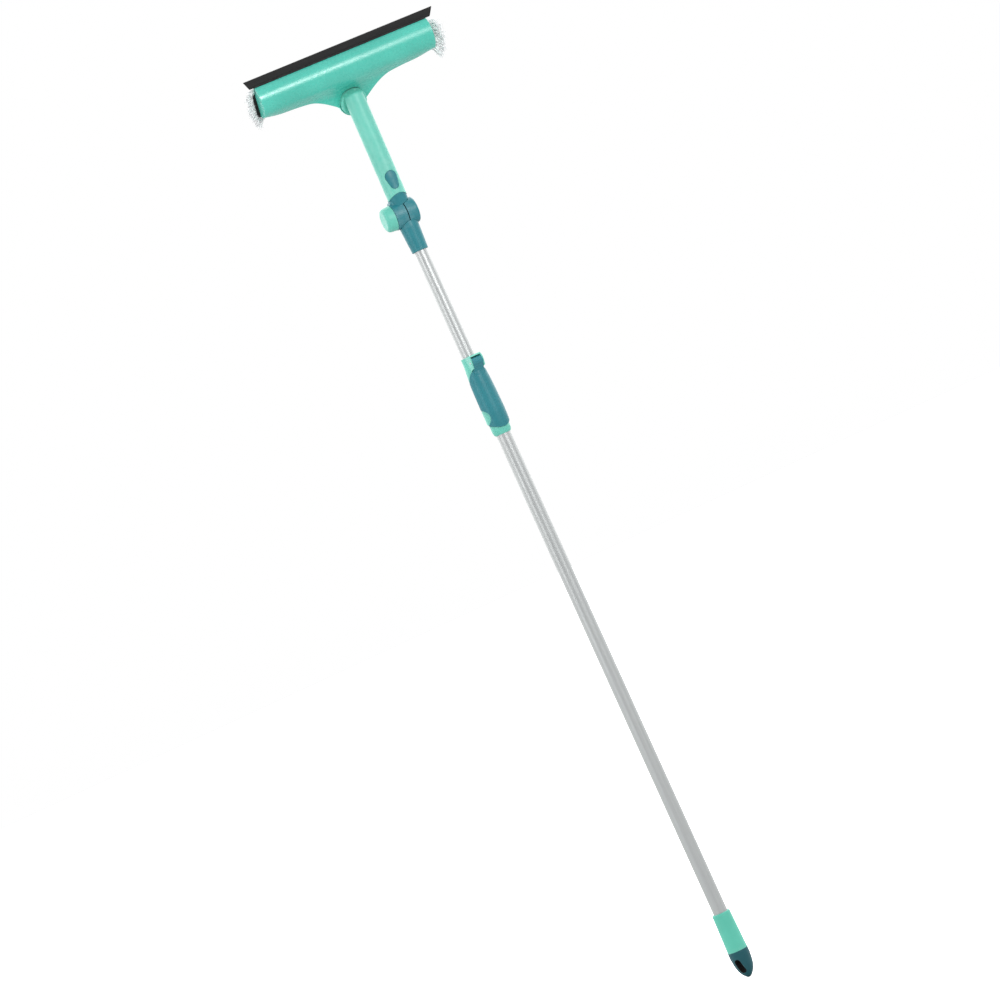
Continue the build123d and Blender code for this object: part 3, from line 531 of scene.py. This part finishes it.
def pad_binding():
    """A bound edge round the backing: a folded tape with its stitches pulled into it."""
    edge, normals = rounded_outline(BACKING_HALF, BACKING_LOW, BACKING_HIGH, BACKING_CORNER, 0.0022)
    half_width, half_depth, inset = 0.0024, 0.0010, 0.0006
    stitch_pull = 0.16
    sides = 10
    middle = (STRIP_BACK + BACKING_BACK) / 2 - 0.0004
    points, faces = [], []
    for i, ((x, up), (nx, nu)) in enumerate(zip(edge, normals)):
        squeeze = 1.0 - stitch_pull * (1 - i % 2)
        for k in range(sides):
            angle = 2 * math.pi * k / sides
            reach = half_width * math.cos(angle) - inset
            depth = half_depth * squeeze * math.sin(angle)
            points.append((x + nx * reach, middle + depth, up + nu * reach))
    for i, j in loop(len(edge)):
        for k, m in loop(sides):
            faces.append((i * sides + k, i * sides + m, j * sides + m, j * sides + k))
    return make_piece("pad_binding", points, faces)


def plush_core():
    """The pad's plush: a shallow cushion, blown up by a short cloth simulation."""
    half = BACKING_HALF - PLUSH_INSET
    low, high = BACKING_LOW + PLUSH_INSET, BACKING_HIGH - PLUSH_INSET
    edge, _ = rounded_outline(half, low, high, BACKING_CORNER - 0.002)
    count = len(edge)
    points = [(x, PLUSH_FRONT, up) for x, up in edge]
    points += [(x, PLUSH_BACK, up) for x, up in edge]
    faces = [tuple(range(count)), tuple(range(count, 2 * count))]
    faces += [(i, i + count, j + count, j) for i, j in loop(count)]
    plush = make_piece("pad_plush", points, faces)
    swell(plush, voxel=0.0042, pressure=3.0, cap=0.0022)
    return plush


def swell(piece, voxel, pressure, cap):
    """Remeshes a piece and blows it up with cloth. Its points move up to cap, and its front stays."""
    scene = bpy.context.scene
    bpy.context.view_layer.objects.active = piece
    remesh = piece.modifiers.new("remesh", "REMESH")
    remesh.mode = "VOXEL"
    remesh.voxel_size = voxel
    bpy.ops.object.modifier_apply(modifier=remesh.name)
    start = np.array([v.co for v in piece.data.vertices])
    cloth = piece.modifiers.new("cloth", "CLOTH")
    cloth.settings.use_pressure = True
    cloth.settings.uniform_pressure_force = pressure
    cloth.settings.effector_weights.gravity = 0.0
    cloth.settings.quality = 6
    cloth.point_cache.frame_start, cloth.point_cache.frame_end = 1, CLOTH_FRAMES
    for step in range(1, CLOTH_FRAMES + 1):
        scene.frame_set(step)
    shape = piece.evaluated_get(bpy.context.evaluated_depsgraph_get())
    end = np.array([v.co for v in shape.data.vertices])
    piece.modifiers.remove(cloth)
    scene.frame_set(1)
    move = end - start
    length = np.linalg.norm(move, axis=1, keepdims=True)
    move *= np.minimum(1.0, cap / np.maximum(length, 1e-9))
    rear = np.array(OUT) * np.minimum(0.0, -(move @ np.array(OUT)))[:, None]
    front = (start - np.array(HEAD_ORIGIN)) @ np.array(OUT) > PLUSH_FRONT - 0.0008
    move[front] += rear[front]
    piece.data.vertices.foreach_set("co", (start + move).ravel())
    smooth = piece.modifiers.new("smooth", "SUBSURF")
    smooth.levels = smooth.render_levels = 1
    bpy.ops.object.modifier_apply(modifier=smooth.name)
    piece.data.shade_smooth()


class Pile:
    """Long microfibre strands, gathered into one mesh."""

    SIDES = 4
    RINGS = (0.0, 0.3, 0.6, 0.85, 1.0)  # shares of a strand's length
    TAPER = (0.75, 1.0, 0.95, 0.75, 0.22)  # shares of its radius, at those rings
    SCATTER = 0.16
    CURL = 0.12
    CURL_TURN = 3.2  # radians that a strand's curl turns through
    TWIST = 0.7

    def __init__(self, seed):
        self.random = random.Random(seed)
        self.points = []
        self.faces = []

    def strand(self, root, direction, length, radius, droop):
        """A strand from a root in the head's frame, that bends down under its own weight."""
        pick = self.random
        aim = np.array(direction, float)
        aim += [pick.gauss(0, self.SCATTER) for _ in range(3)]
        aim /= np.linalg.norm(aim)
        side = np.cross(aim, [0.3, 0.5, 0.8])
        side /= np.linalg.norm(side)
        other = np.cross(aim, side)
        phase = pick.uniform(0, 2 * math.pi)
        base = len(self.points)
        for t, thick in zip(self.RINGS, self.TAPER):
            bend = droop * t * t
            centre = np.array(root) + length * (aim * (t - 0.45 * bend) + DOWN * 0.6 * bend)
            wave = self.CURL * length * t * (1.2 - t)
            turn = phase + self.CURL_TURN * t
            centre += wave * (side * math.cos(turn) + other * math.sin(turn))
            for k in range(self.SIDES):
                angle = 2 * math.pi * k / self.SIDES + self.TWIST * t
                spoke = side * math.cos(angle) + other * math.sin(angle)
                self.points.append(centre + radius * thick * spoke)
        n = self.SIDES
        tip = base + (len(self.RINGS) - 1) * n
        for ring in range(base, tip, n):
            self.faces += [(ring + k, ring + m, ring + m + n, ring + k + n) for k, m in loop(n)]
        self.faces.append(tuple(range(tip, tip + n)))
        self.faces.append(tuple(range(base, base + n)))

    def spread(self, low, high):
        return self.random.uniform(low, high)


def back_pile(pile):
    """Strands all over the plush, splayed a little more towards its edges."""
    step, scatter = 0.0027, 0.0008
    middle = (BACKING_LOW + BACKING_HIGH) / 2
    half_up = (BACKING_HIGH - BACKING_LOW) / 2 - PLUSH_INSET
    half_across = BACKING_HALF - 0.004
    for row in range(int(2 * half_up / step) + 1):
        for column in range(int(2 * half_across / step) + 1):
            x = -half_across + step * (column + 0.5 * (row % 2)) + pile.spread(-scatter, scatter)
            up = middle - half_up + step * row + pile.spread(-scatter, scatter)
            if abs(x) > half_across:
                continue
            root = (x, PLUSH_BACK + 0.001, up)
            aim = (0.5 * (x / half_across) ** 7, -1.0, 0.35 * (up - middle) / half_up)
            pile.strand(root, aim, pile.spread(0.0085, 0.0115), radius=0.00078, droop=0.55)


def long_edge_pile(pile):
    """Short strands along the hem's two long edges, that lie back towards the plush."""
    step, layers, layer_step = 0.0021, 3, 0.0013
    half_across = BACKING_HALF - BACKING_CORNER
    for side, edge in ((-1, BACKING_LOW), (1, BACKING_HIGH)):
        for column in range(int(2 * half_across / step)):
            for layer in range(layers):
                x = -half_across + step * column + pile.spread(-0.001, 0.001)
                root = (x, BACKING_BACK + 0.0002 - layer_step * layer, edge - 0.002 * side)
                aim = (0.0, -0.75 - 0.25 * layer, 0.8 * side)
                pile.strand(root, aim, pile.spread(0.0075, 0.0105), radius=0.00076, droop=0.5)


def end_fringe(pile, side, reach, forward):
    """The long fringe at one short end: locks of fine strands with thick ones among them."""
    locks, strands, thick_every = 30, 26, 4
    low, high = BACKING_LOW + 0.001, BACKING_HIGH - 0.002
    for lock in range(locks):
        share = lock / (locks - 1)
        up = low + (high - low) * share
        corner = max(0.0, 1.0 - share / 0.30)  # 1 at the bottom corner, 0 from there on up
        top = max(0.0, (share - 0.82) / 0.18)  # 1 at the top corner
        swing = pile.spread(-0.16, 0.16)
        length = reach * pile.spread(0.86, 1.06) * (1.0 + 0.10 * corner - 0.10 * top)
        droop = 0.30 + 0.3 * corner
        for strand in range(strands):
            depth = pile.spread(0.0, 1.0)
            x = side * (BACKING_HALF - 0.0035 + pile.spread(-0.003, 0.002) - 0.004 * (corner + top))
            root = (x, -0.0112 - 0.0052 * depth, up + pile.spread(-0.0017, 0.0017))
            aim = (
                side * (1.0 - 0.25 * corner),
                forward * (0.9 - depth) - 0.25 * depth,
                0.55 * (share - 0.5) + swing - 0.45 * corner,
            )
            if strand % thick_every == 0:
                pile.strand(root, aim, 0.78 * length, radius=0.0013, droop=droop)
            else:
                fine_length = length * pile.spread(0.82, 1.05)
                pile.strand(root, aim, fine_length, radius=0.00072, droop=droop)


def make_pad():
    backing = cloth_backing()
    binding = pad_binding()
    plush = plush_core()
    pile = Pile(seed=7)
    back_pile(pile)
    long_edge_pile(pile)
    end_fringe(pile, side=-1, reach=0.0215, forward=-0.10)
    end_fringe(pile, side=1, reach=0.0270, forward=0.75)
    fibres = make_piece("pad_pile", pile.points, pile.faces)
    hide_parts("microfibre_pad")
    for piece in (backing, binding, plush, fibres):
        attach(piece, "head")


bpy.context.scene.view_settings.view_transform = "Standard"
make_camera()
make_world()
make_lights()
make_floor()
LOOKS = dress_cad_nodes()
make_pad()
